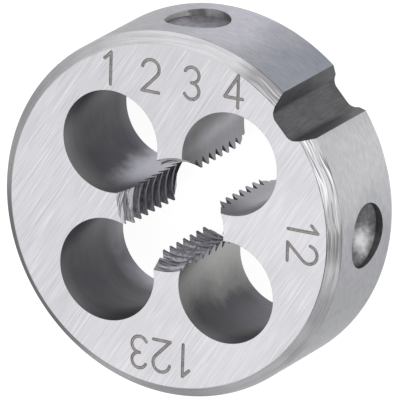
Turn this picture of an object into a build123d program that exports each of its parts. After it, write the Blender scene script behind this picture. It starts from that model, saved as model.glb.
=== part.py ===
from build123d import *
from build123d.topology import SkipClean
import math
import os

# Round threading die: a hardened steel disc with a threaded bore that four chip
# holes open into cutting lands. The origin is the centre of the back face, the
# marked face is up, and the lands stand on the X and Y axes. Lengths are in
# millimetres, angles in degrees counted from +X.

# Disc, with a chamfer round the rim at the marked face and at the back face
body_diameter = 20.0
body_thickness = 7.0
marked_face_chamfer = 0.6
back_face_chamfer = 0.7

# Thread: metric form, right hand. The height is where the tooth crest on the
# +X land first comes above the back face.
thread_diameter = 6.0
thread_pitch = 0.75
thread_flank_angle = 60.0
thread_start_height = 0.52

# Lead cones at both ends of the bore: how much wider than the thread their
# mouth is, all round, and how deep they go
lead_margin = 0.2
lead_length = 1.4

# Chip holes: the depth is how far each one reaches inside the thread diameter
chip_hole_count = 4
chip_hole_diameter = 5.6
chip_hole_opening_depth = 0.8
chip_hole_first_angle = 45.0

# Adjusting notch down the rim
notch_angle = 42.7
notch_depth = 1.17
notch_floor_width = 1.6
notch_flank_angle = 65.0
notch_corner_radius = 0.3

# Screw seats drilled into the rim
seat_angles = [-1.4, 92.2]
seat_diameter = 3.54
seat_wall_depth = 0.4
seat_point_angle = 118.0

# The seam where the turned rim's two surfaces meet, on its plain side
rim_seam_angle = 232.0

# How far the cutting tools run past what they cut
overrun = 1.0
crest_overrun = 0.06

# Worked out from the above
body_radius = body_diameter / 2
mid_height = body_thickness / 2
root_radius = thread_diameter / 2
flank_slope = math.tan(math.radians(thread_flank_angle / 2))
sharp_thread_height = thread_pitch / (2 * flank_slope)
crest_radius = root_radius - 5 / 8 * sharp_thread_height
chip_hole_radius = chip_hole_diameter / 2
chip_hole_distance = root_radius - chip_hole_opening_depth + chip_hole_radius
land_spacing = 360 / chip_hole_count


def disc_blank():
    disc = Cylinder(body_radius, body_thickness, align=(Align.CENTER, Align.CENTER, Align.MIN))
    blank = Rot(0, 0, rim_seam_angle) * disc
    top_rim = blank.edges().group_by(Axis.Z)[-1]
    blank = chamfer(top_rim, marked_face_chamfer)
    bottom_rim = blank.edges().group_by(Axis.Z)[0]
    return chamfer(bottom_rim, back_face_chamfer)


def chip_holes():
    # Drilled right through, on a circle round the bore.
    hole = Cylinder(chip_hole_radius, body_thickness + 2 * overrun)
    places = PolarLocations(chip_hole_distance, chip_hole_count, chip_hole_first_angle)
    return [Pos(0, 0, mid_height) * place * hole for place in places]


def bore_with_leads():
    # Half section of the hole between the lands: straight at the thread crests
    # and open to a cone at both ends. Its seam is turned into a chip hole.
    mouth_radius = root_radius + lead_margin
    slope = (mouth_radius - crest_radius) / lead_length
    outer_radius = mouth_radius + slope * overrun
    section = Polyline(
        (0, -overrun),
        (outer_radius, -overrun),
        (crest_radius, lead_length),
        (crest_radius, body_thickness - lead_length),
        (outer_radius, body_thickness + overrun),
        (0, body_thickness + overrun),
        close=True,
    )
    return Rot(0, 0, chip_hole_first_angle) * revolve(Plane.XZ * make_face(section), Axis.Z)


def groove_sweep_angle():
    # A groove piece ends halfway between the edge of its land, at the thread
    # crests, and the middle of the chip hole beside it.
    reach = crest_radius**2 + chip_hole_distance**2 - chip_hole_radius**2
    hole_half_angle = math.degrees(math.acos(reach / (2 * crest_radius * chip_hole_distance)))
    return land_spacing - hole_half_angle


def thread_groove_piece():
    # The V groove between two teeth, long enough to cross one land. It climbs a
    # right-hand helix that starts on the X axis at height 0.
    root_flat = thread_pitch / 8
    inner_radius = crest_radius - crest_overrun
    inner_width = root_flat + 2 * (root_radius - inner_radius) * flank_slope
    profile = Polyline(
        (inner_radius, -inner_width / 2),
        (root_radius, -root_flat / 2),
        (root_radius, root_flat / 2),
        (inner_radius, inner_width / 2),
        close=True,
    )
    climb = thread_pitch * groove_sweep_angle() / 360
    helix = Helix(thread_pitch, climb, root_radius)
    return sweep(Plane.XZ * make_face(profile), path=helix, is_frenet=True)


def thread_grooves():
    # Copies of the groove piece, turned from land to land and raised turn by turn.
    piece = thread_groove_piece()
    turns = math.ceil(body_thickness / thread_pitch)
    first_groove = thread_start_height - thread_pitch / 2
    grooves = []
    for land in range(chip_hole_count):
        land_angle = chip_hole_first_angle + (land + 0.5) * land_spacing
        start_angle = land_angle - groove_sweep_angle() / 2
        start_height = (first_groove + thread_pitch * start_angle / 360) % thread_pitch
        for turn in range(turns):
            height = start_height + turn * thread_pitch
            grooves.append(Pos(0, 0, height) * Rot(0, 0, start_angle) * piece)
    return grooves


def adjusting_notch():
    # A V with a flat floor, cut along the whole thickness.
    floor_radius = body_radius - notch_depth
    reach = notch_depth + overrun
    mouth_width = notch_floor_width + 2 * reach * math.tan(math.radians(notch_flank_angle / 2))
    outline = Polyline(
        (floor_radius, -notch_floor_width / 2),
        (floor_radius + reach, -mouth_width / 2),
        (floor_radius + reach, mouth_width / 2),
        (floor_radius, notch_floor_width / 2),
        close=True,
    )
    cutter = extrude(make_face(outline), body_thickness + 2 * overrun)
    floor_corners = cutter.edges().filter_by(Axis.Z).group_by(Axis.X)[0]
    cutter = fillet(floor_corners, notch_corner_radius)
    return Rot(0, 0, notch_angle) * Pos(0, 0, -overrun) * cutter


def screw_seat(angle):
    # A short straight wall and the cone that the drill's point leaves.
    seat_radius = seat_diameter / 2
    wall_end = body_radius - seat_wall_depth
    point = wall_end - seat_radius / math.tan(math.radians(seat_point_angle / 2))
    section = Polyline(
        (point, 0),
        (wall_end, seat_radius),
        (body_radius + overrun, seat_radius),
        (body_radius + overrun, 0),
        close=True,
    )
    drill = revolve(make_face(section), Axis.X)
    return Rot(0, 0, angle) * Pos(0, 0, mid_height) * drill


def threading_die():
    die = disc_blank() - bore_with_leads()
    die -= chip_holes()
    die -= thread_grooves()
    for angle in seat_angles:
        die -= screw_seat(angle)
    # The notch opens the rim, and the seam stays: the rim is two plain surfaces.
    with SkipClean():
        die -= adjusting_notch()
    return die


os.makedirs("parts", exist_ok=True)
export_step(threading_die(), "parts/die_body.step")
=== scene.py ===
import math

import bmesh
import bpy
from mathutils import Matrix, Vector


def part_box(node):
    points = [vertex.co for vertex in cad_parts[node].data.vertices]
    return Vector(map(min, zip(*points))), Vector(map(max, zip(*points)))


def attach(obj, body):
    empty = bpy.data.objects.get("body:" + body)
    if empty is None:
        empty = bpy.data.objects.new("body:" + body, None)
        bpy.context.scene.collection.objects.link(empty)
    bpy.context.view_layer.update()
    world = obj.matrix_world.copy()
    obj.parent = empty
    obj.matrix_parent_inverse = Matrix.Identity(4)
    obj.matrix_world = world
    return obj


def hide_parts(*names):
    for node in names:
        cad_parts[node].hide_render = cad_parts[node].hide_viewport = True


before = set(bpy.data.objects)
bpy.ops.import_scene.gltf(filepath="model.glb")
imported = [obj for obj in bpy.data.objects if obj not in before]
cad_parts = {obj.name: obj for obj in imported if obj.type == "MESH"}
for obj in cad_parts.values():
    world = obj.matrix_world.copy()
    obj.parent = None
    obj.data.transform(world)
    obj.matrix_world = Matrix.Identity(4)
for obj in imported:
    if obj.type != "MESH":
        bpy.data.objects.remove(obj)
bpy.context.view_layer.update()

# The die is modelled in millimetres and brought to metres when it is finished.
mm = 0.001
# points this near are one place, and these doubles are merged
samePlace = 0.001
mergeWithin = 0.0005
# a face looks along an axis when its normal has more of it than the first, and across it below the second
looksAlong = 0.9
looksAcross = 0.3
# how far every cutting tool stands out of the die
overrun = 1.0
cadLow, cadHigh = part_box("die_body")
bodyRadius = min(-cadLow.x, -cadLow.y, cadHigh.x, cadHigh.y) / mm
bodyThickness = (cadHigh.z - cadLow.z) / mm


def pickOnly(piece):
    bpy.ops.object.select_all(action="DESELECT")
    piece.select_set(True)
    bpy.context.view_layer.objects.active = piece


def newest(name):
    # The primitive just added, with its place in its mesh.
    piece = bpy.context.active_object
    piece.name = name
    piece.data.name = name
    pickOnly(piece)
    bpy.ops.object.transform_apply(location=True, rotation=True, scale=True)
    return piece


def startEditing(piece, kind, wanted):
    # Edit mode with only the wanted vertices, edges or faces selected.
    pickOnly(piece)
    bpy.ops.object.mode_set(mode="EDIT")
    bpy.ops.mesh.select_mode(type=kind)
    bpy.ops.mesh.select_all(action="DESELECT")
    bpy.ops.object.mode_set(mode="OBJECT")
    mesh = piece.data
    if kind == "VERT":
        for vert in mesh.vertices:
            vert.select = wanted(vert.co)
    if kind == "EDGE":
        for edge in mesh.edges:
            edge.select = wanted(*(mesh.vertices[i].co for i in edge.vertices))
    if kind == "FACE":
        for face in mesh.polygons:
            face.select = wanted(face)
    bpy.ops.object.mode_set(mode="EDIT")


def doneEditing():
    bpy.ops.object.mode_set(mode="OBJECT")


def extrude(way):
    bpy.ops.mesh.extrude_region_move(TRANSFORM_OT_translate={"value": way})


def trim(at, outward):
    # All that lies beyond the plane goes, and the cut is closed.
    bpy.ops.mesh.select_all(action="SELECT")
    bpy.ops.mesh.bisect(plane_co=at, plane_no=outward, use_fill=True, clear_outer=True)


def cutAway(body, cutter, material):
    # The cut surface takes the material of the tool that made it.
    if material:
        cutter.data.materials.clear()
        cutter.data.materials.append(material)
    pickOnly(body)
    cut = body.modifiers.new("cut", "BOOLEAN")
    cut.operation = "DIFFERENCE"
    cut.solver = "EXACT"
    cut.material_mode = "TRANSFER"
    cut.object = cutter
    bpy.ops.object.modifier_apply(modifier=cut.name)
    bpy.data.objects.remove(cutter)


def radiusOf(point):
    return math.hypot(point.x, point.y)


# Colours are written in sRGB, as a picture shows them.
def hexColour(code):
    channels = [int(code[i:i + 2], 16) / 255 for i in (0, 2, 4)]
    linear = [c / 12.92 if c <= 0.04045 else ((c + 0.055) / 1.055) ** 2.4 for c in channels]
    return (*linear, 1.0)


def addNode(tree, kind, inputs=None, **settings):
    # An input is given a plain value, a socket, or another node, whose first output it then takes.
    node = tree.nodes.new(kind)
    for name, value in settings.items():
        setattr(node, name, value)
    for socket, value in (inputs or {}).items():
        if isinstance(value, bpy.types.Node):
            value = value.outputs[0]
        if isinstance(value, bpy.types.NodeSocket):
            tree.links.new(value, node.inputs[socket])
        else:
            node.inputs[socket].default_value = value
    return node


def offAxis(tree, place):
    # The way out from the die's axis, and how far out it is.
    way = addNode(tree, "ShaderNodeVectorMath", {0: place, 1: (1, 1, 0)}, operation="MULTIPLY")
    return way, addNode(tree, "ShaderNodeVectorMath", {0: way}, operation="LENGTH").outputs["Value"]


# How a finish's marks lie: each of these gives the position that the fine marks are drawn on,
# one unit to a mark's length and width, and the direction across them, in which they spread a highlight.
def straightLay(tree, place, finish):
    angle = math.radians(finish["angle"])
    size = (finish["markLength"] * mm, finish["markWidth"] * mm, mm)
    grain = addNode(tree, "ShaderNodeMapping", {"Vector": place, "Rotation": (0, 0, angle), "Scale": size},
                    vector_type="TEXTURE")
    return grain, (-math.sin(angle), math.cos(angle), 0)


def ringLay(tree, place, finish):
    # Rings about the die's axis. Where the surface slopes they are told apart by radius, else by height,
    # and where the tool chattered they wander sideways.
    way, radius = offAxis(tree, place)
    height = addNode(tree, "ShaderNodeSeparateXYZ", {0: place}).outputs["Z"]
    byRadius, byHeight = finish["ringsBy"]
    across = addNode(tree, "ShaderNodeMath", {0: radius, 1: byRadius / (finish["markWidth"] * mm)},
                     operation="MULTIPLY")
    across = addNode(tree, "ShaderNodeMath",
                     {0: height, 1: byHeight / (finish["markWidth"] * mm), 2: across},
                     operation="MULTIPLY_ADD")
    if "wander" in finish:
        length, reach = finish["wander"]
        stray = addNode(tree, "ShaderNodeTexNoise",
                        {"Vector": place, "Scale": 1 / (length * mm), "Detail": 1.0})
        across = addNode(tree, "ShaderNodeMath", {0: stray, 1: reach / finish["markWidth"], 2: across},
                         operation="MULTIPLY_ADD")
    spread = addNode(tree, "ShaderNodeVectorMath", {0: way, "Scale": 1 / (finish["markLength"] * mm)},
                     operation="SCALE")
    up = addNode(tree, "ShaderNodeCombineXYZ", {2: across})
    grain = addNode(tree, "ShaderNodeVectorMath", {0: spread, 1: up}, operation="ADD")
    return grain, (0, 0, 1)


def seatLay(tree, place, finish):
    # Rings about a screw seat's own axis, which is brought onto X first.
    turn = math.radians(finish["angle"])
    local = addNode(tree, "ShaderNodeMapping",
                    {"Vector": place, "Location": (0, 0, -bodyThickness / 2 * mm),
                     "Rotation": (0, 0, -turn)})
    way = addNode(tree, "ShaderNodeVectorMath", {0: local, 1: (0, 1, 1)}, operation="MULTIPLY")
    radius = addNode(tree, "ShaderNodeVectorMath", {0: way}, operation="LENGTH").outputs["Value"]
    across = addNode(tree, "ShaderNodeMath", {0: radius, 1: 1 / (finish["markWidth"] * mm)},
                     operation="MULTIPLY")
    spread = addNode(tree, "ShaderNodeVectorMath", {0: way, "Scale": 1 / (finish["markLength"] * mm)},
                     operation="SCALE")
    out = addNode(tree, "ShaderNodeCombineXYZ", {0: across})
    grain = addNode(tree, "ShaderNodeVectorMath", {0: spread, 1: out}, operation="ADD")
    return grain, (math.cos(turn), math.sin(turn), 0)


def paintOver(tree, tone, share, colour):
    # The colour laid over the tone, from none of it at a share of 0 to nothing else at 1.
    layer = addNode(tree, "ShaderNodeMix", {0: share, 6: tone, 7: hexColour(colour)}, data_type="RGBA")
    return layer.outputs[2]


# How far the edge of a place on one side of the die strays at most, and how near its middle it is full,
# both in radians round the die.
sideStray = 0.5
sideFull = 0.05


def sideShare(tree, place, ragged, angle, halfWidth, share=1.0):
    # Full on one side of the die, at that angle, and fading out by the half width with a ragged edge.
    turn = math.radians(angle)
    out = addNode(tree, "ShaderNodeVectorMath", {0: place, 1: (1, 1, 0)}, operation="MULTIPLY")
    out = addNode(tree, "ShaderNodeVectorMath", {0: out}, operation="NORMALIZE")
    facing = addNode(tree, "ShaderNodeVectorMath", {0: out, 1: (math.cos(turn), math.sin(turn), 0)},
                     operation="DOT_PRODUCT")
    apart = addNode(tree, "ShaderNodeMath", {0: facing.outputs["Value"]}, operation="ARCCOSINE")
    half = math.radians(halfWidth)
    stray = min(sideStray, 2 * half)
    apart = addNode(tree, "ShaderNodeMath", {0: ragged, 1: stray, 2: apart}, operation="MULTIPLY_ADD")
    return addNode(tree, "ShaderNodeMapRange",
                   {"Value": apart, "From Min": half + stray / 2,
                    "From Max": min(half / 2, sideFull) + stray / 2, "To Max": share},
                   interpolation_type="SMOOTHSTEP")


# The noise levels between which clouds grow and the gloss changes, and over which a line's edge fades.
cloudRange = (0.42, 0.7)
glossRange = (0.3, 0.7)
lineFade = 0.06


def makeMachinedSteel(name, lay, finish):
    # Tool steel with its machining marks. From below: a plain tone with cloudy patches, lighter or darker
    # places on one side of the die (on the chamfer and the rim these are painted light and shade), bands
    # that grow from one height to another, the fine marks, which are in the gloss and a shallow relief too,
    # and single lines that catch the light or stay dark.
    material = bpy.data.materials.new(name)
    material.use_nodes = True
    tree = material.node_tree
    shader = tree.nodes["Principled BSDF"]
    shader.inputs["Metallic"].default_value = finish.get("metallic", 1.0)
    place = addNode(tree, "ShaderNodeTexCoord").outputs["Object"]
    grain, across = lay(tree, place, finish)
    cloud = addNode(tree, "ShaderNodeTexNoise",
                    {"Vector": place, "Scale": 1 / (finish["cloudSize"] * mm), "Detail": 2.0,
                     "Roughness": 0.5})
    cloudy = addNode(tree, "ShaderNodeMapRange",
                     {"Value": cloud, "From Min": cloudRange[0], "From Max": cloudRange[1],
                      "To Max": finish["cloudShare"]})
    tone = paintOver(tree, hexColour(finish["colour"]), cloudy, finish["cloudColour"])
    for angle, halfWidth, share, colour in finish.get("places", ()):
        tone = paintOver(tree, tone, sideShare(tree, place, cloud, angle, halfWidth, share), colour)
    for start, full, share, colour, *sides in finish.get("bands", ()):
        height = addNode(tree, "ShaderNodeSeparateXYZ", {0: place}).outputs["Z"]
        band = addNode(tree, "ShaderNodeMapRange", {"Value": height, "From Min": start * mm,
                                                    "From Max": full * mm, "To Max": share})
        for side in sides:
            here = sideShare(tree, place, cloud, *side)
            band = addNode(tree, "ShaderNodeMath", {0: band, 1: here}, operation="MULTIPLY")
        tone = paintOver(tree, tone, band, colour)
    marks = addNode(tree, "ShaderNodeTexNoise",
                    {"Vector": grain, "Scale": 1.0, "Detail": 3.0, "Roughness": 0.6})
    deepest, clear = finish["markRange"]
    shade = addNode(tree, "ShaderNodeMapRange", {"Value": marks, "From Min": clear, "From Max": deepest})
    depth = finish["markDepth"]
    tone = addNode(tree, "ShaderNodeMix", {0: shade, 6: tone, 7: (depth, depth, depth, 1)},
                   data_type="RGBA", blend_type="MULTIPLY").outputs[2]
    for line in finish.get("lines", ()):
        path = lay(tree, place, dict(finish, markLength=line["length"], markWidth=line["width"]))[0]
        noise = addNode(tree, "ShaderNodeTexNoise",
                        {"Vector": path, "W": line["seed"], "Scale": 1.0, "Detail": 1.0, "Roughness": 0.4},
                        noise_dimensions="4D")
        share = addNode(tree, "ShaderNodeMapRange",
                        {"Value": noise, "From Min": line["from"], "From Max": line["from"] + lineFade,
                         "To Max": line["share"]})
        if "side" in line:
            here = sideShare(tree, place, cloud, *line["side"])
            share = addNode(tree, "ShaderNodeMath", {0: share, 1: here}, operation="MULTIPLY")
        tone = paintOver(tree, tone, share, line["colour"])
    gloss = addNode(tree, "ShaderNodeMapRange",
                    {"Value": marks, "From Min": glossRange[0], "From Max": glossRange[1],
                     "To Min": finish["roughness"] + finish["roughnessSpread"],
                     "To Max": finish["roughness"] - finish["roughnessSpread"]})
    relief = addNode(tree, "ShaderNodeBump", {"Height": marks, "Strength": finish["relief"],
                                              "Distance": finish["markWidth"] * mm / 2})
    tree.links.new(tone, shader.inputs["Base Color"])
    tree.links.new(gloss.outputs[0], shader.inputs["Roughness"])
    tree.links.new(relief.outputs[0], shader.inputs["Normal"])
    if finish["anisotropy"]:
        tangent = addNode(tree, "ShaderNodeCombineXYZ", dict(enumerate(across)))
        tree.links.new(tangent.outputs[0], shader.inputs["Tangent"])
        shader.inputs["Anisotropic"].default_value = finish["anisotropy"]
    return material


def steelSoFar(material):
    # For painting more on it: its nodes, the place on the piece, the shader's colour, the tone there now.
    tree = material.node_tree
    place = addNode(tree, "ShaderNodeTexCoord").outputs["Object"]
    colour = tree.nodes["Principled BSDF"].inputs["Base Color"]
    return tree, place, colour, colour.links[0].from_socket


# In a finish, sizes are in millimetres and angles in degrees. Marks are deepest at the first level of
# markRange and end at the second, and markDepth of the tone is left in the deepest. A place is an angle
# round the die, a half width, a share and a colour. A band is the heights where it starts and is full, a
# share and a colour, and an angle and a half width if it isn't all round.

# Surface ground on a flat bed: straight lines all one way, close to white where they catch light.
# Real grinding lines are about 0.02 mm wide; they are drawn 0.05 mm wide so that they show.
faceFinish = {
    "colour": "E6E5EA", "cloudColour": "D6D5DB", "cloudSize": 4.0, "cloudShare": 0.5,
    "roughness": 0.36, "roughnessSpread": 0.04, "markLength": 3.0, "markWidth": 0.05,
    "markRange": (0.3, 0.6), "markDepth": 0.83, "angle": 58.0, "relief": 0.08, "anisotropy": 0.3,
    "places": [(110.0, 105.0, 0.6, "D6D5DA"), (-150.0, 60.0, 0.35, "D6D5DA")],
    "lines": [
        {"length": 2.6, "width": 0.05, "from": 0.62, "seed": 1.0, "share": 0.55, "colour": "B4B3B8",
         "side": (150.0, 150.0)},
        {"length": 9.0, "width": 0.06, "from": 0.68, "seed": 5.0, "share": 0.6, "colour": "9B9A9E",
         "side": (150.0, 170.0)},
        {"length": 3.5, "width": 0.12, "from": 0.6, "seed": 9.0, "share": 0.4, "colour": "F6F6F9"},
    ],
}
# Turned with a pointed tool: smooth grey rings, and near the notch chattered ones that wander and flash
# bright and dark, where the flashes are painted highlight and painted shade on the real marks.
chamferFinish = {
    "colour": "C9C8CB", "cloudColour": "B6B5B6", "cloudSize": 2.5, "cloudShare": 0.5,
    "roughness": 0.28, "roughnessSpread": 0.05, "markLength": 3.0, "markWidth": 0.08,
    "markRange": (0.3, 0.55), "markDepth": 0.8, "ringsBy": (1.0, 0.0), "relief": 0.2, "anisotropy": 0.3,
    # how long the rings' strays are, and how far sideways they go
    "wander": (2.6, 0.3),
    # painted light and painted shade: places round the chamfer made lighter or darker
    "places": [(18.0, 20.0, 0.15, "F0EFF2"), (1.0, 9.0, 0.75, "8A8989"), (56.0, 10.0, 0.9, "908F92"),
               (95.0, 35.0, 0.6, "DAD9DD"), (130.0, 16.0, 0.5, "E2E1E4"), (-58.0, 22.0, 0.85, "DFDEE1"),
               (-23.0, 14.0, 0.75, "A0A0A2"), (-88.0, 14.0, 0.4, "A5A5A8"), (-132.0, 22.0, 0.8, "98989B"),
               (-162.0, 16.0, 0.5, "98989B")],
    # the chattered rings' dark and bright lines: real marks, drawn with painted shade and painted highlight
    "lines": [
        {"length": 1.8, "width": 0.07, "from": 0.56, "seed": 2.0, "share": 0.8, "colour": "737274",
         "side": (22.0, 55.0)},
        {"length": 2.2, "width": 0.06, "from": 0.545, "seed": 7.0, "share": 0.9, "colour": "F8F8FA",
         "side": (26.0, 42.0)},
    ],
}
# Ground between centres: short fine lines round the rim on a satin blue-grey, faintly clouded. Lighter and
# darker places round it are painted light and shade, and the dull blue beside the notch, deepest towards the
# back face, is a painted reflection of shade.
rimFinish = {
    "colour": "A9A8AE", "cloudColour": "989BA4", "cloudSize": 3.0, "cloudShare": 0.5,
    "roughness": 0.42, "roughnessSpread": 0.04, "markLength": 0.5, "markWidth": 0.09,
    "markRange": (0.3, 0.6), "markDepth": 0.82, "ringsBy": (0.0, 1.0), "relief": 0.12, "anisotropy": 0.2,
    # painted light and shade round the rim, and at 57 degrees a painted reflection of shade in dull blue
    "places": [(20.0, 32.0, 0.9, "C6C6C8"), (57.0, 17.0, 0.5, "7D8390"), (82.0, 18.0, 0.7, "BCBBC6"),
               (120.0, 24.0, 0.8, "939396"), (-32.0, 32.0, 0.85, "97989A")],
    # painted reflection of the shadow round the die's foot: dull blue, growing towards the back face beside
    # the notch
    "bands": [(4.8, 0.5, 0.5, "7D8390", (52.0, 20.0))],
}
# Drilled and left with the dark scale of hardening, honed bright near the teeth; the walls growing lighter
# towards the back face are painted light from below, through the hole. Reaches are distances from the die's
# axis and heights are above its back face, each where a place starts and where it is full.
holeFinish = {
    "colour": "49494F", "cloudColour": "595A59", "cloudSize": 2.0, "cloudShare": 0.6,
    "roughness": 0.4, "roughnessSpread": 0.03, "markLength": 1.2, "markWidth": 0.1,
    "markRange": (0.3, 0.65), "markDepth": 0.92, "ringsBy": (0.0, 1.0), "relief": 0.03, "anisotropy": 0.1,
    # bands: lighter near the marked face, and lighter towards the back face, which is painted light from
    # below
    "bands": [(5.9, 6.9, 0.21, "B2B3B2"), (5.0, 6.9, 0.35, "B2B3B2", (175.0, 48.0)),
              (1.1, 0.1, 0.16, "B6B5C2"), (1.8, 0.3, 0.65, "BAB9C6", (-123.0, 22.0)),
              (2.2, 0.4, 0.3, "B8B7BC", (-158.0, 22.0)), (4.8, 1.0, 0.2, "9C9AA6", (-60.0, 19.0))],
    "places": [(-163.0, 24.0, 0.07, "C0C0C4")],
    "honedColour": "B4B3BE", "honedReach": (5.2, 3.6), "honedHeights": (6.2, 3.8), "honedAtFace": 0.5,
    "honedLean": 0.16,
    # two noises that make the edges ragged: their size, and how far they move an edge
    "wobble": (2.5, 1.4), "blotch": (0.4, 0.6),
    # the hole between +X and -Y is honed further, to a greenish grey
    "greyColour": "ABABA8", "greySide": (-62.0, 110.0), "faintReach": (6.0, 5.3), "faintShare": 0.3,
    "faintHeights": (5.2, 3.2), "greyReach": (5.7, 3.2), "greyHeights": (0.5, 3.5), "greyAtFoot": 0.85,
    # the walls of the hole between +X and +Y are duller, most beside the teeth: side, reach, share, colour
    "dullWalls": [((77.0, 45.0), (9.0, 5.0), 0.35, "A09D9B"), ((77.0, 30.0), (4.2, 3.4), 0.5, "6A6869"),
                  ((15.0, 28.0), (4.0, 3.0), 0.25, "6E6C6E")],
}
# Milled down the rim and left matt by the scale: an even, dark grey grain.
notchFinish = {
    "colour": "6E6C6F", "cloudColour": "5C5D5C", "cloudSize": 1.2, "cloudShare": 0.5,
    "roughness": 0.55, "roughnessSpread": 0.04, "markLength": 0.07, "markWidth": 0.06,
    "markRange": (0.3, 0.7), "markDepth": 0.7, "angle": 0.0, "relief": 0.25, "anisotropy": 0.0,
}
# Spot drilled: a cone with the drill's rings in it under the dark scale, with a bright patch of painted
# highlight off its middle.
seatFinish = {
    "colour": "78787B", "cloudColour": "565659", "cloudSize": 0.35, "cloudShare": 0.7,
    "roughness": 0.36, "roughnessSpread": 0.06, "markLength": 0.4, "markWidth": 0.07,
    "markRange": (0.25, 0.6), "markDepth": 0.7, "relief": 0.3, "anisotropy": 0.3,
    # the painted highlight: how far sideways and up its middle lies, and where it fades out
    "highlightColour": "EAEAEC", "highlightAt": (-0.62, -0.85), "highlightFrom": 1.15, "highlightTo": -0.3,
    # the noise that makes its edge ragged: its size, and how far it moves the edge
    "highlightBlotch": (0.3, 0.9),
    # painted shade: a dark ring in the corner below the wall, a little lower than the seat's middle
    "cornerShadeColour": "2F2F31", "cornerShadeWidth": 0.22, "cornerShadeDrop": 0.2, "cornerShadeShare": 0.8,
}
# The second seat's cone has a weaker painted highlight, so it looks duller.
dullSeatFinish = dict(seatFinish, colour="86848A", cloudColour="625F66", highlightColour="B4B2B8",
                      highlightAt=(0.2, -0.2), highlightFrom=1.7)
# The first seat's wall keeps its scale and is matt grey, with no painted highlight or shade. The second's is
# nearly bare, bright with streaks.
seatWallFinish = dict(seatFinish, colour="7A7A7B", cloudColour="5E5E5F", roughness=0.5, highlightColour=None)
# on the second wall, the bright streak at 101 degrees is a worn edge with painted highlight on it, with
# darker streaks beside it
bareSeatWallFinish = dict(seatWallFinish, colour="D2D2D3", cloudColour="96969A", cloudSize=0.5,
                          cloudShare=0.6, places=[(101.2, 4.5, 0.7, "F8F8F8"), (97.2, 3.2, 0.6, "5C5C5E"),
                                                  (84.5, 5.5, 0.6, "6A6A6C")])
# Reamed to a cone: torn and scratched rings, the brightest marks in the bore, and so rough that they
# scatter light more than they mirror it.
leadFinish = {
    "colour": "F6F5F8", "cloudColour": "CDCCD0", "cloudSize": 0.4, "cloudShare": 0.4,
    "roughness": 0.6, "roughnessSpread": 0.08, "markLength": 1.0, "markWidth": 0.07,
    "markRange": (0.4, 0.54), "markDepth": 0.2, "ringsBy": (1.0, 0.3), "relief": 0.9, "anisotropy": 0.0,
    "metallic": 0.3, "places": [(-90.0, 45.0, 0.9, "85858D")],
}
# Tapped and hardened: dark flanks with fine lines along the thread.
flankFinish = {
    "colour": "7E7E86", "cloudColour": "56565D", "cloudSize": 0.3, "cloudShare": 0.8,
    # on the land at -Y the flanks are lighter, a painted highlight; the band makes those of the land at -X
    # lighter near the marked face
    "places": [(-90.0, 45.0, 0.75, "C2C2CC")], "bands": [(5.2, 6.3, 0.75, "DEDDE3", (180.0, 45.0))],
    "roughness": 0.4, "roughnessSpread": 0.05, "markLength": 0.6, "markWidth": 0.06,
    "markRange": (0.35, 0.55), "markDepth": 0.3, "ringsBy": (1.0, 0.4), "relief": 0.4, "anisotropy": 0.0,
    # a dark stain towards the crests of the land at -Y: its side, the distances from the axis where it
    # starts and is full, and the noise that makes its edge ragged
    "stainSide": (-90.0, 45.0), "stainReach": (2.74, 2.64), "stainShare": 0.6, "stainColour": "34343A",
    "stainBlotch": (0.15, 0.5),
}
# The crests are lapped a little by the rods they cut: darker and smoother than the flanks.
crestFinish = dict(flankFinish, colour="5E5E64", roughness=0.34, places=[(-90.0, 45.0, 0.9, "4A4A50")])
# Etched by laser: matt grey-brown, a little uneven.
figureFinish = {
    "colour": "B2AFAE", "cloudColour": "9C958E", "cloudSize": 0.4, "cloudShare": 0.5,
    "roughness": 0.55, "roughnessSpread": 0.04, "markLength": 0.2, "markWidth": 0.1,
    "markRange": (0.35, 0.65), "markDepth": 0.75, "angle": 0.0, "relief": 0.2, "anisotropy": 0.0,
    "bands": [(6.96, 6.99, 0.8, "7C7672")],
}


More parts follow.
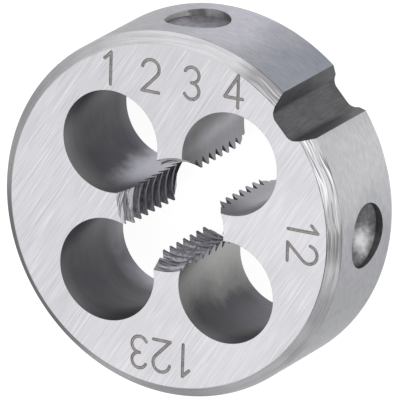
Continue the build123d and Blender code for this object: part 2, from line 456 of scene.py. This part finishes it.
def makeHoleSteel():
    material = makeMachinedSteel("hardenedHoleSteel", ringLay, holeFinish)
    tree, place, colour, tone = steelSoFar(material)
    wobbleSize, wobbleReach = holeFinish["wobble"]
    blotchSize, blotchReach = holeFinish["blotch"]
    wobble = addNode(tree, "ShaderNodeTexNoise",
                     {"Vector": place, "Scale": 1 / (wobbleSize * mm), "Detail": 1.0})
    blotch = addNode(tree, "ShaderNodeTexNoise",
                     {"Vector": place, "Scale": 1 / (blotchSize * mm), "Detail": 2.0})
    radius = offAxis(tree, place)[1]
    height = addNode(tree, "ShaderNodeSeparateXYZ", {0: place}).outputs["Z"]
    greySide = sideShare(tree, place, wobble, *holeFinish["greySide"])
    lean = addNode(tree, "ShaderNodeMapRange",
                   {"Value": greySide, "To Min": holeFinish["honedLean"], "To Max": 0.0})
    fromMiddle = addNode(tree, "ShaderNodeMath", {0: height, 1: bodyThickness / 2 * mm},
                         operation="SUBTRACT")
    edge = addNode(tree, "ShaderNodeMath", {0: fromMiddle, 1: lean, 2: radius}, operation="MULTIPLY_ADD")
    for noise, reach in ((wobble, wobbleReach), (blotch, blotchReach)):
        edge = addNode(tree, "ShaderNodeMath", {0: noise, 1: reach * mm, 2: edge}, operation="MULTIPLY_ADD")
    # the noises are about a half, so they move the edge in by this much
    moved = (wobbleReach + blotchReach) / 2

    def within(start, full, share=1.0):
        return addNode(tree, "ShaderNodeMapRange",
                       {"Value": edge, "From Min": (start + moved) * mm, "From Max": (full + moved) * mm,
                        "To Max": share}, interpolation_type="SMOOTHSTEP")

    # how near the teeth, and how deep below the marked face, on the honed walls and on the grey ones
    near = addNode(tree, "ShaderNodeMix", {0: greySide, 2: within(*holeFinish["honedReach"]),
                                           3: within(*holeFinish["greyReach"])}, data_type="FLOAT")
    # the honed share grows towards the back face: painted light from below
    faceEnd, deepEnd = holeFinish["honedHeights"]
    deep = addNode(tree, "ShaderNodeMapRange",
                   {"Value": height, "From Min": deepEnd * mm, "From Max": faceEnd * mm, "To Min": 1.0,
                    "To Max": holeFinish["honedAtFace"]}, interpolation_type="SMOOTHSTEP")
    low, high = holeFinish["greyHeights"]
    greyDeep = addNode(tree, "ShaderNodeMapRange",
                       {"Value": height, "From Min": low * mm, "From Max": high * mm,
                        "To Min": holeFinish["greyAtFoot"]})
    deep = addNode(tree, "ShaderNodeMix", {0: greySide, 2: deep, 3: greyDeep}, data_type="FLOAT")
    share = addNode(tree, "ShaderNodeMath", {0: near, 1: deep}, operation="MULTIPLY")
    # a faint grey beyond it, on the lower half of the grey walls, which is painted light from below
    high, low = holeFinish["faintHeights"]
    below = addNode(tree, "ShaderNodeMapRange",
                    {"Value": height, "From Min": high * mm, "From Max": low * mm},
                    interpolation_type="SMOOTHSTEP")
    faint = within(*holeFinish["faintReach"], holeFinish["faintShare"])
    for part in (greySide, below):
        faint = addNode(tree, "ShaderNodeMath", {0: faint, 1: part}, operation="MULTIPLY")
    tone = paintOver(tree, tone, faint, holeFinish["greyColour"])
    honed = paintOver(tree, hexColour(holeFinish["honedColour"]), greySide, holeFinish["greyColour"])
    tone = addNode(tree, "ShaderNodeMix", {0: share, 6: tone, 7: honed}, data_type="RGBA").outputs[2]
    for side, reach, share, dullColour in holeFinish["dullWalls"]:
        here = sideShare(tree, place, wobble, *side)
        dull = addNode(tree, "ShaderNodeMath", {0: within(*reach, share), 1: here}, operation="MULTIPLY")
        tone = paintOver(tree, tone, dull, dullColour)
    tree.links.new(tone, colour)
    return material


def makeFlankSteel():
    material = makeMachinedSteel("threadFlankSteel", ringLay, flankFinish)
    tree, place, colour, tone = steelSoFar(material)
    size, reach = flankFinish["stainBlotch"]
    start, full = flankFinish["stainReach"]
    blotch = addNode(tree, "ShaderNodeTexNoise", {"Vector": place, "Scale": 1 / (size * mm), "Detail": 2.0})
    edge = addNode(tree, "ShaderNodeMath", {0: blotch, 1: reach * mm, 2: offAxis(tree, place)[1]},
                   operation="MULTIPLY_ADD")
    stain = addNode(tree, "ShaderNodeMapRange",
                    {"Value": edge, "From Min": (start + reach / 2) * mm,
                     "From Max": (full + reach / 2) * mm, "To Max": flankFinish["stainShare"]},
                    interpolation_type="SMOOTHSTEP")
    here = sideShare(tree, place, blotch, *flankFinish["stainSide"])
    stain = addNode(tree, "ShaderNodeMath", {0: stain, 1: here}, operation="MULTIPLY")
    tree.links.new(paintOver(tree, tone, stain, flankFinish["stainColour"]), colour)
    return material


def makeSeatSteel(name, finish, angle):
    material = makeMachinedSteel(name, seatLay, dict(finish, angle=angle))
    if not finish["highlightColour"]:
        return material
    tree, place, colour, tone = steelSoFar(material)
    turn = math.radians(angle)
    out = Vector((math.cos(turn), math.sin(turn), 0))
    sideways, up = finish["highlightAt"]
    middle = out * bodyRadius + Vector((0, 0, bodyThickness / 2))
    highlightMiddle = middle + Vector((-out.y, out.x, 0)) * sideways + Vector((0, 0, up))
    cornerShadeMiddle = middle - Vector((0, 0, finish["cornerShadeDrop"]))

    def axisDistance(point):
        off = addNode(tree, "ShaderNodeVectorMath", {0: place, 1: point * mm}, operation="SUBTRACT")
        off = addNode(tree, "ShaderNodeVectorMath", {0: off, 1: out}, operation="CROSS_PRODUCT")
        return addNode(tree, "ShaderNodeVectorMath", {0: off}, operation="LENGTH").outputs["Value"]

    # the painted highlight: a bright patch off the seat's middle, with a ragged edge
    size, reach = finish["highlightBlotch"]
    blotch = addNode(tree, "ShaderNodeTexNoise", {"Vector": place, "Scale": 1 / (size * mm), "Detail": 3.0})
    edge = addNode(tree, "ShaderNodeMath", {0: blotch, 1: reach * mm, 2: axisDistance(highlightMiddle)},
                   operation="MULTIPLY_ADD")
    paintedHighlight = addNode(tree, "ShaderNodeMapRange",
                     {"Value": edge, "From Min": (finish["highlightFrom"] + reach / 2) * mm,
                      "From Max": (finish["highlightTo"] + reach / 2) * mm}, interpolation_type="SMOOTHSTEP")
    tone = paintOver(tree, tone, paintedHighlight, finish["highlightColour"])
    # painted shade in the corner below the wall
    corner = addNode(tree, "ShaderNodeMapRange",
                     {"Value": axisDistance(cornerShadeMiddle), "To Max": finish["cornerShadeShare"],
                      "From Min": (screwSeats["radius"] - finish["cornerShadeWidth"]) * mm,
                      "From Max": screwSeats["radius"] * mm})
    tree.links.new(paintOver(tree, tone, corner, finish["cornerShadeColour"]), colour)
    return material


faceSteel = makeMachinedSteel("groundFaceSteel", straightLay, faceFinish)
chamferSteel = makeMachinedSteel("turnedChamferSteel", ringLay, chamferFinish)
rimSteel = makeMachinedSteel("groundRimSteel", ringLay, rimFinish)
holeSteel = makeHoleSteel()
notchSteel = makeMachinedSteel("milledNotchSteel", straightLay, notchFinish)
leadSteel = makeMachinedSteel("reamedLeadSteel", ringLay, leadFinish)
flankSteel = makeFlankSteel()
crestSteel = makeMachinedSteel("threadCrestSteel", ringLay, crestFinish)
markSteel = makeMachinedSteel("etchedFigureSteel", straightLay, figureFinish)
print("materials made")


disc = {
    "markedFaceChamfer": 0.6,
    "backFaceChamfer": 0.7,
    "edgeBreak": 0.03,
    "roundSteps": 360,
    # how upright a normal is at least on the faces, and on the chamfers and broken edges
    "faceUpright": 0.95,
    "chamferUpright": 0.3,
    # edges flatter than this many degrees are shaded smooth
    "smoothBelow": 20.0,
}


def makeDisc():
    # A cylinder whose rims are chamfered, and then every edge is broken lightly.
    bpy.ops.mesh.primitive_cylinder_add(vertices=disc["roundSteps"], radius=bodyRadius,
                                        depth=bodyThickness, location=(0, 0, bodyThickness / 2))
    body = newest("dieBody")
    for height, size in ((bodyThickness, disc["markedFaceChamfer"]), (0, disc["backFaceChamfer"])):
        startEditing(body, "EDGE", lambda a, b: max(abs(a.z - height), abs(b.z - height)) < samePlace)
        bpy.ops.mesh.bevel(offset=size, offset_type="OFFSET", segments=1, affect="EDGES")
        doneEditing()
    startEditing(body, "EDGE", lambda a, b: abs(a.z - b.z) < samePlace)
    bpy.ops.mesh.bevel(offset=disc["edgeBreak"], offset_type="OFFSET", segments=1, affect="EDGES")
    doneEditing()
    for steel in (faceSteel, chamferSteel, rimSteel):
        body.data.materials.append(steel)
    for face in body.data.polygons:
        upright = abs(face.normal.z)
        if upright > disc["faceUpright"]:
            face.material_index = 0
        else:
            face.material_index = 1 if upright > disc["chamferUpright"] else 2
    return body


# Plain figures, each drawn as one line groove on a cell 1 mm wide and 1.75 mm high. A line goes
# to a point; a round turns about a centre by so many degrees, clockwise below zero.
figureStrokes = {
    "1": [[(0.2, 1.38), ("line", (0.57, 1.74))],
          [(0.58, 1.76), ("line", (0.58, 0.0))]],
    "2": [[(0.008, 1.337), ("round", (0.5, 1.25), -213.6), ("line", (0.0, 0.0))],
          [(0.03, 0.006), ("line", (1.0, 0.0))]],
    "3": [[(0.09, 1.502), ("round", (0.48, 1.32), -245.0)],
          [(0.465, 0.895), ("round", (0.48, 0.445), -245.0)]],
    "4": [[(0.78, 0.0), ("line", (0.78, 1.78))],
          [(0.775, 1.74), ("line", (0.0, 0.52))],
          [(0.012, 0.5), ("line", (1.05, 0.5))]],
}
figures = {
    "cellWidth": 1.0,
    "lineWidth": 0.19,
    "depth": 0.05,
    "ringSteps": 16,
    "roundStep": 15.0,
    # text, the middle of the first cell's foot, the step to the next one, and how the line is turned
    "rows": [
        ("1234", (-3.7, 6.7), (2.45, 0.0), 0.0),
        ("12", (7.1, 0.72), (0.0, -1.32), -90.0),
        ("123", (1.2, -6.9), (-1.35, 0.0), 180.0),
    ],
}


def onFace(point, foot, turn):
    spot = Matrix.Rotation(math.radians(turn), 2) @ Vector((point[0] - figures["cellWidth"] / 2, point[1]))
    return Vector((foot[0] + spot.x, foot[1] + spot.y, 0))


def cutStroke(body, stroke, foot, turn):
    # A ball nose's path: a ball whose leading half is drawn along the line.
    half = figures["lineWidth"] / 2
    depth = figures["depth"]
    ball = (half ** 2 + depth ** 2) / (2 * depth)
    lift = Vector((0, 0, bodyThickness + ball - depth))
    start = onFace(stroke[0], foot, turn)
    first = stroke[1]
    if first[0] == "line":
        ahead = onFace(first[1], foot, turn) - start
    else:
        arm = start - onFace(first[1], foot, turn)
        ahead = Vector((-arm.y, arm.x, 0)) * math.copysign(1, first[2])
    ahead.normalize()
    heading = math.atan2(ahead.y, ahead.x)
    steps = figures["ringSteps"]
    bpy.ops.mesh.primitive_uv_sphere_add(segments=steps, ring_count=steps // 2, radius=ball,
                                         location=start + lift, rotation=(0, math.pi / 2, heading))
    tool = newest("stroke")
    startEditing(tool, "FACE", lambda face: (face.center - start - lift).dot(ahead) > 0)
    spot = start
    for kind, *where in stroke[1:]:
        target = onFace(where[0], foot, turn)
        if kind == "line":
            extrude(target - spot)
            spot = target
        else:
            sweep = math.radians(where[1])
            steps = round(abs(where[1]) / figures["roundStep"])
            bpy.ops.mesh.spin(steps=steps, angle=-sweep, center=target + lift, axis=(0, 0, 1))
            spot = target + Matrix.Rotation(sweep, 3, "Z") @ (spot - target)
    bpy.ops.mesh.select_all(action="SELECT")
    bpy.ops.mesh.remove_doubles(threshold=mergeWithin)
    bpy.ops.mesh.normals_make_consistent(inside=False)
    doneEditing()
    cutAway(body, tool, markSteel)


def cutFigures(body):
    for text, firstFoot, step, turn in figures["rows"]:
        for place, figure in enumerate(text):
            foot = (firstFoot[0] + place * step[0], firstFoot[1] + place * step[1])
            for stroke in figureStrokes[figure]:
                cutStroke(body, stroke, foot, turn)


thread = {
    "diameter": 6.0,
    "pitch": 0.75,
    "flankAngle": 60.0,
    # how high the middle of a crest is where it meets the X axis
    "crestHeight": 0.52,
    "leadMargin": 0.2,
    "leadLength": 1.4,
    # each land's lead is ground with relief: wider at the heel than at the cutting edge by so much
    "leadRelief": 0.25,
    # and the ones at the marked face a little off the axis
    "leadShift": (0.12, 0.12),
    "stepsPerTurn": 144,
    "spareTurns": 3,
}
# A standard profile: five eighths of the sharp height, flat by a quarter of the pitch on the crest and by
# an eighth in the root.
flankSlope = math.tan(math.radians(thread["flankAngle"] / 2))
rootRadius = thread["diameter"] / 2
crestRadius = rootRadius - 5 / 8 * thread["pitch"] / (2 * flankSlope)


def makeThreadPlug():
    # One tooth's outline is drawn on the X axis and screwed upwards, right-handed.
    pitch = thread["pitch"]
    crestFlat, rootFlat = pitch / 4, pitch / 8
    toothDepth = rootRadius - crestRadius
    flankRise = toothDepth * flankSlope
    turns = math.ceil((bodyThickness + 2 * overrun) / pitch) + thread["spareTurns"]
    start = thread["crestHeight"] - crestFlat / 2 - thread["spareTurns"] * pitch
    bpy.ops.mesh.primitive_plane_add(size=pitch, location=(crestRadius, 0, start))
    plug = newest("threadPlug")
    startEditing(plug, "VERT", lambda point: True)
    bpy.ops.mesh.merge(type="CENTER")
    for outward, upward in ((0, crestFlat), (toothDepth, flankRise),
                            (0, rootFlat), (-toothDepth, flankRise)):
        extrude((outward, 0, upward))
    doneEditing()
    screw = plug.modifiers.new("screw", "SCREW")
    screw.axis = "Z"
    screw.screw_offset = pitch
    screw.iterations = turns
    screw.steps = thread["stepsPerTurn"]
    screw.render_steps = thread["stepsPerTurn"]
    bpy.ops.object.modifier_apply(modifier=screw.name)
    startEditing(plug, "VERT", lambda point: True)
    bpy.ops.mesh.remove_doubles(threshold=mergeWithin)
    for height, side in ((-overrun, -1), (bodyThickness + overrun, 1)):
        trim((0, 0, height), (0, 0, side))
    bpy.ops.mesh.select_all(action="SELECT")
    bpy.ops.mesh.normals_make_consistent(inside=False)
    doneEditing()
    for steel in (flankSteel, crestSteel):
        plug.data.materials.append(steel)
    for face in plug.data.polygons:
        onCrest = abs(face.normal.z) < looksAcross and radiusOf(face.center) < (crestRadius + rootRadius) / 2
        face.material_index = 1 if onCrest else 0
    return plug


def cutLeadCones(body):
    # Every land has its own cone at each end, set off to one side so that it opens towards the heel.
    mouth = rootRadius + thread["leadMargin"]
    slope = (mouth - crestRadius) / thread["leadLength"]
    outer = mouth + slope * overrun
    depth = thread["leadLength"] + overrun
    away = bodyThickness + overrun - depth / 2
    between = chipHoles["distance"]
    reach = (mouth ** 2 + between ** 2 - chipHoles["radius"] ** 2) / (2 * mouth * between)
    landWidth = math.pi / 2 - 2 * math.acos(reach)
    setOff = thread["leadRelief"] / landWidth
    ends = ((away, crestRadius, outer, Vector(thread["leadShift"]), 1),
            (bodyThickness - away, outer, crestRadius, Vector((0, 0)), -1))
    for middle, low, high, shift, turn in ends:
        for land in range(chipHoles["count"]):
            angle = land * 2 * math.pi / chipHoles["count"]
            along = Vector((math.sin(angle), -math.cos(angle))) * turn * setOff + shift
            bpy.ops.mesh.primitive_cone_add(vertices=thread["stepsPerTurn"], radius1=low, radius2=high,
                                            depth=depth, location=(along.x, along.y, middle))
            cone = newest("leadCone")
            startEditing(cone, "FACE", lambda face: True)
            for side in (1, -1):
                edge = angle + side * math.pi / chipHoles["count"]
                trim((0, 0, 0), Vector((-math.sin(edge), math.cos(edge), 0)) * side)
            doneEditing()
            cutAway(body, cone, leadSteel)


chipHoles = {
    "count": 4,
    "radius": 2.8,
    "distance": 5.0,
    "firstAngle": 45.0,
    "edgeBreak": 0.015,
    "roundSteps": 128,
}


def cutChipHoles(body):
    # Drilled through, with each mouth broken lightly.
    radius = chipHoles["radius"]
    small = chipHoles["edgeBreak"]
    wider = (radius + small) / radius
    for number in range(chipHoles["count"]):
        angle = math.radians(chipHoles["firstAngle"] + number * 360 / chipHoles["count"])
        middle = Vector((math.cos(angle), math.sin(angle), 0)) * chipHoles["distance"]
        bpy.ops.mesh.primitive_cylinder_add(vertices=chipHoles["roundSteps"], radius=radius,
                                            depth=bodyThickness - 2 * small,
                                            location=middle + Vector((0, 0, bodyThickness / 2)))
        drill = newest("chipHole")
        for side in (1, -1):
            startEditing(drill, "FACE", lambda face: face.normal.z * side > looksAlong)
            extrude((0, 0, side * small))
            bpy.ops.transform.resize(value=(wider, wider, 1))
            extrude((0, 0, side * overrun))
            doneEditing()
        cutAway(body, drill, holeSteel)


screwSeats = {
    "angles": (-1.4, 92.2),
    "radius": 1.77,
    "wallDepth": 0.4,
    "pointAngle": 118.0,
    "roundSteps": 96,
}
# each seat's finishes, on its cone and on its wall
seatFinishes = ((seatFinish, seatWallFinish), (dullSeatFinish, bareSeatWallFinish))


def cutScrewSeats(body):
    # A drill whose point stops short: a low wall and a shallow cone.
    radius = screwSeats["radius"]
    coneDepth = radius / math.tan(math.radians(screwSeats["pointAngle"] / 2))
    length = screwSeats["wallDepth"] + overrun
    foot = Vector((bodyRadius - screwSeats["wallDepth"], 0, bodyThickness / 2))
    for number, angle in enumerate(screwSeats["angles"]):
        bpy.ops.mesh.primitive_cylinder_add(vertices=screwSeats["roundSteps"], radius=radius,
                                            depth=length, end_fill_type="TRIFAN",
                                            location=foot + Vector((length / 2, 0, 0)),
                                            rotation=(0, math.pi / 2, 0))
        drill = newest("screwSeat")
        startEditing(drill, "VERT", lambda point: (point - foot).length < samePlace)
        bpy.ops.transform.translate(value=(-coneDepth, 0, 0))
        doneEditing()
        for name, finish in zip(("drilledSeatSteel", "seatWallSteel"), seatFinishes[number]):
            drill.data.materials.append(makeSeatSteel(f"{name}{number + 1}", finish, angle))
        for face in drill.data.polygons:
            face.material_index = 1 if abs(face.normal.x) < looksAcross else 0
        drill.rotation_euler.z = math.radians(angle)
        cutAway(body, newest("screwSeat"), None)


notch = {
    "angle": 42.7,
    "depth": 1.17,
    "floorWidth": 1.6,
    "flankAngle": 65.0,
    "cornerRadius": 0.3,
    "cornerSteps": 8,
}


def cutNotch(body):
    # A block milled down the rim: its outer side is drawn out to the V, its floor corners are round.
    floorAt = bodyRadius - notch["depth"]
    reach = notch["depth"] + overrun
    mouth = notch["floorWidth"] + 2 * reach * math.tan(math.radians(notch["flankAngle"] / 2))
    tall = bodyThickness + 2 * overrun
    bpy.ops.mesh.primitive_cube_add(size=1, scale=(reach, notch["floorWidth"], tall),
                                    location=(floorAt + reach / 2, 0, bodyThickness / 2))
    cutter = newest("notch")
    startEditing(cutter, "FACE", lambda face: face.normal.x > looksAlong)
    bpy.ops.transform.resize(value=(1, mouth / notch["floorWidth"], 1))
    doneEditing()
    startEditing(cutter, "EDGE",
                 lambda a, b: abs(a.z - b.z) > samePlace and max(a.x, b.x) < floorAt + samePlace)
    bpy.ops.mesh.bevel(offset=notch["cornerRadius"], offset_type="OFFSET", segments=notch["cornerSteps"],
                       affect="EDGES")
    doneEditing()
    cutter.rotation_euler.z = math.radians(notch["angle"])
    cutAway(body, newest("notch"), notchSteel)


body = makeDisc()
cutFigures(body)
print("disc and figures made")
cutAway(body, makeThreadPlug(), None)
cutLeadCones(body)
print("thread cut")
cutChipHoles(body)
cutScrewSeats(body)
cutNotch(body)
print("holes, seats and notch cut")

startEditing(body, "VERT", lambda point: True)
bpy.ops.mesh.remove_doubles(threshold=mergeWithin)
doneEditing()
body.scale = (mm, mm, mm)
pickOnly(body)
bpy.ops.object.transform_apply(location=True, rotation=True, scale=True)
bpy.ops.object.shade_smooth_by_angle(angle=math.radians(disc["smoothBelow"]))
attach(body, "root")
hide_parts("die_body")

check = bmesh.new()
check.from_mesh(body.data)
print("faces", len(check.faces), "triangles", len(check.calc_loop_triangles()),
      "open edges", sum(not edge.is_manifold for edge in check.edges), "volume",
      round(check.calc_volume() / mm ** 3, 1), [steel.name for steel in body.data.materials])
check.free()


floor = {
    "size": 3.0,
    # just clear of the die's back face, so that the two don't show through each other
    "gap": 0.02,
    "shownLevel": 0.92,
    "farLevel": 0.25,
    "fadeFrom": 16.0,
    "fadeTo": 24.0,
    "litShare": 0.3,
    # painted shade on it beside the die, which only the steel's reflections show: low corner, high corner
    # and how soft its edge is
    "mirroredShade": ((-40.0, -20.0), (-12.3, -4.0), 0.8),
}


def makeFloor():
    # A pale sheet that shows as white, to the camera and in the steel, where only the part round the die
    # shows. The die's shadow falls on it, and in the steel it shows a patch of painted shade beside the die.
    bpy.ops.mesh.primitive_plane_add(size=floor["size"], location=(0, 0, -floor["gap"] * mm))
    sheet = newest("floor")
    material = bpy.data.materials.new("paleSheet")
    material.use_nodes = True
    tree = material.node_tree
    tree.nodes.clear()
    place = addNode(tree, "ShaderNodeTexCoord").outputs["Object"]
    away = addNode(tree, "ShaderNodeVectorMath", {0: place}, operation="LENGTH")
    level = addNode(tree, "ShaderNodeMapRange",
                    {"Value": away.outputs["Value"], "From Min": floor["fadeFrom"] * mm,
                     "From Max": floor["fadeTo"] * mm, "To Min": floor["shownLevel"],
                     "To Max": floor["farLevel"]}, interpolation_type="SMOOTHSTEP")
    path = addNode(tree, "ShaderNodeLightPath")
    parts = addNode(tree, "ShaderNodeSeparateXYZ", {0: place})
    # the painted shade, seen only by rays that the steel mirrors
    low, high, soft = floor["mirroredShade"]
    mirroredShade = path.outputs["Is Glossy Ray"]
    for axis in (0, 1):
        for edge, inward in ((low[axis], 1), (high[axis], -1)):
            side = addNode(tree, "ShaderNodeMapRange",
                           {"Value": parts.outputs[axis], "From Min": (edge - inward * soft) * mm,
                            "From Max": (edge + inward * soft) * mm}, interpolation_type="SMOOTHSTEP")
            mirroredShade = addNode(tree, "ShaderNodeMath", {0: mirroredShade, 1: side}, operation="MULTIPLY")
    mirroredShade = addNode(tree, "ShaderNodeMath", {0: 1.0, 1: mirroredShade}, operation="SUBTRACT")
    mirrored = addNode(tree, "ShaderNodeMath", {0: path.outputs["Is Glossy Ray"], 1: level},
                       operation="MULTIPLY")
    mirrored = addNode(tree, "ShaderNodeMath", {0: mirrored, 1: mirroredShade}, operation="MULTIPLY")
    seen = addNode(tree, "ShaderNodeMath",
                   {0: path.outputs["Is Camera Ray"], 1: path.outputs["Is Transmission Ray"]},
                   operation="MAXIMUM")
    glow = addNode(tree, "ShaderNodeMath", {0: seen, 1: floor["shownLevel"], 2: mirrored},
                   operation="MULTIPLY_ADD")
    glow = addNode(tree, "ShaderNodeEmission", {"Color": (1, 1, 1, 1), "Strength": glow})
    share = floor["litShare"]
    matt = addNode(tree, "ShaderNodeBsdfDiffuse", {"Color": (share, share, share, 1)})
    both = addNode(tree, "ShaderNodeAddShader", {0: glow, 1: matt})
    addNode(tree, "ShaderNodeOutputMaterial", {"Surface": both})
    sheet.data.materials.append(material)


makeFloor()

camera = {
    "azimuth": 125.525,
    "elevation": 57.442,
    "roll": -119.389,
    "distance": 600.0,
    "aim": (1.338, 0.892, 5.974),
    "lens": 1028.4,
    "sensorWidth": 36,
    # what it sees, nearest and farthest, in metres
    "clip": (0.01, 10),
}


def makeCamera():
    azimuth, elevation, roll = (math.radians(camera[k]) for k in ("azimuth", "elevation", "roll"))
    back = Vector((math.sin(azimuth) * math.cos(elevation), -math.cos(azimuth) * math.cos(elevation),
                   math.sin(elevation)))
    level = Vector((math.cos(azimuth), math.sin(azimuth), 0))
    upright = back.cross(level)
    right = level * math.cos(roll) + upright * math.sin(roll)
    up = back.cross(right)
    place = (Vector(camera["aim"]) + back * camera["distance"]) * mm
    bpy.ops.object.camera_add(location=place)
    eye = bpy.context.active_object
    eye.rotation_euler = Matrix((right, up, back)).transposed().to_euler()
    eye.data.lens = camera["lens"]
    eye.data.sensor_width = camera["sensorWidth"]
    eye.data.clip_start, eye.data.clip_end = camera["clip"]
    bpy.context.scene.camera = eye


makeCamera()

studio = {
    # the level above, and how high it starts and is full, from 0 at the horizon to 1 overhead
    "overhead": 1.05,
    "overheadFrom": 0.45,
    "overheadTo": 0.8,
    "brightTowards": 50.0,
    # how much to the bright side, from -1 to 1, and the level there near the horizon
    "sideLevels": ((-1.0, 0.62), (-0.6, 0.66), (-0.2, 0.86), (0.1, 1.08), (1.0, 1.25)),
    # the camera and its stand are a dark place in the room
    "darkTowards": -33.0,
    "darkHeight": 55.0,
    "darkSpread": (12.0, 30.0),
    "darkShare": 0.9,
}


def makeWorld():
    # A soft room: bright above and on one side, darker low down on the other.
    world = bpy.data.worlds.new("studio")
    world.use_nodes = True
    tree = world.node_tree
    background = tree.nodes["Background"]
    look = addNode(tree, "ShaderNodeTexCoord").outputs["Generated"]
    split = addNode(tree, "ShaderNodeSeparateXYZ", {0: look})
    angle = math.radians(studio["brightTowards"])
    towards = addNode(tree, "ShaderNodeVectorMath", {0: look, 1: (math.cos(angle), math.sin(angle), 0)},
                      operation="DOT_PRODUCT")
    place = addNode(tree, "ShaderNodeMath", {0: towards.outputs["Value"], 1: 0.5, 2: 0.5},
                    operation="MULTIPLY_ADD")
    ramp = addNode(tree, "ShaderNodeValToRGB", {0: place})
    levels = studio["sideLevels"]
    while len(ramp.color_ramp.elements) < len(levels):
        ramp.color_ramp.elements.new(0.5)
    for stop, (towardsBright, level) in zip(ramp.color_ramp.elements, levels):
        stop.position = towardsBright * 0.5 + 0.5
        stop.color = (level, level, level, 1)
    ramp.color_ramp.interpolation = "EASE"
    high = addNode(tree, "ShaderNodeMapRange",
                   {"Value": split.outputs["Z"], "From Min": studio["overheadFrom"],
                    "From Max": studio["overheadTo"]}, interpolation_type="SMOOTHSTEP")
    level = addNode(tree, "ShaderNodeMix", {0: high, 2: ramp, 3: studio["overhead"]},
                    data_type="FLOAT")
    turn, rise = math.radians(studio["darkTowards"]), math.radians(studio["darkHeight"])
    dark = (math.cos(turn) * math.cos(rise), math.sin(turn) * math.cos(rise), math.sin(rise))
    near = addNode(tree, "ShaderNodeVectorMath", {0: look, 1: dark}, operation="DOT_PRODUCT")
    inner, outer = (math.cos(math.radians(spread)) for spread in studio["darkSpread"])
    shade = addNode(tree, "ShaderNodeMapRange",
                    {"Value": near.outputs["Value"], "From Min": outer, "From Max": inner, "To Min": 1.0,
                     "To Max": 1 - studio["darkShare"]}, interpolation_type="SMOOTHSTEP")
    level = addNode(tree, "ShaderNodeMath", {0: level, 1: shade}, operation="MULTIPLY")
    tree.links.new(level.outputs[0], background.inputs["Strength"])
    background.inputs["Color"].default_value = (1, 1, 1, 1)
    bpy.context.scene.world = world


makeWorld()
bpy.context.scene.view_settings.view_transform = "Standard"
print("stage, camera and light made")
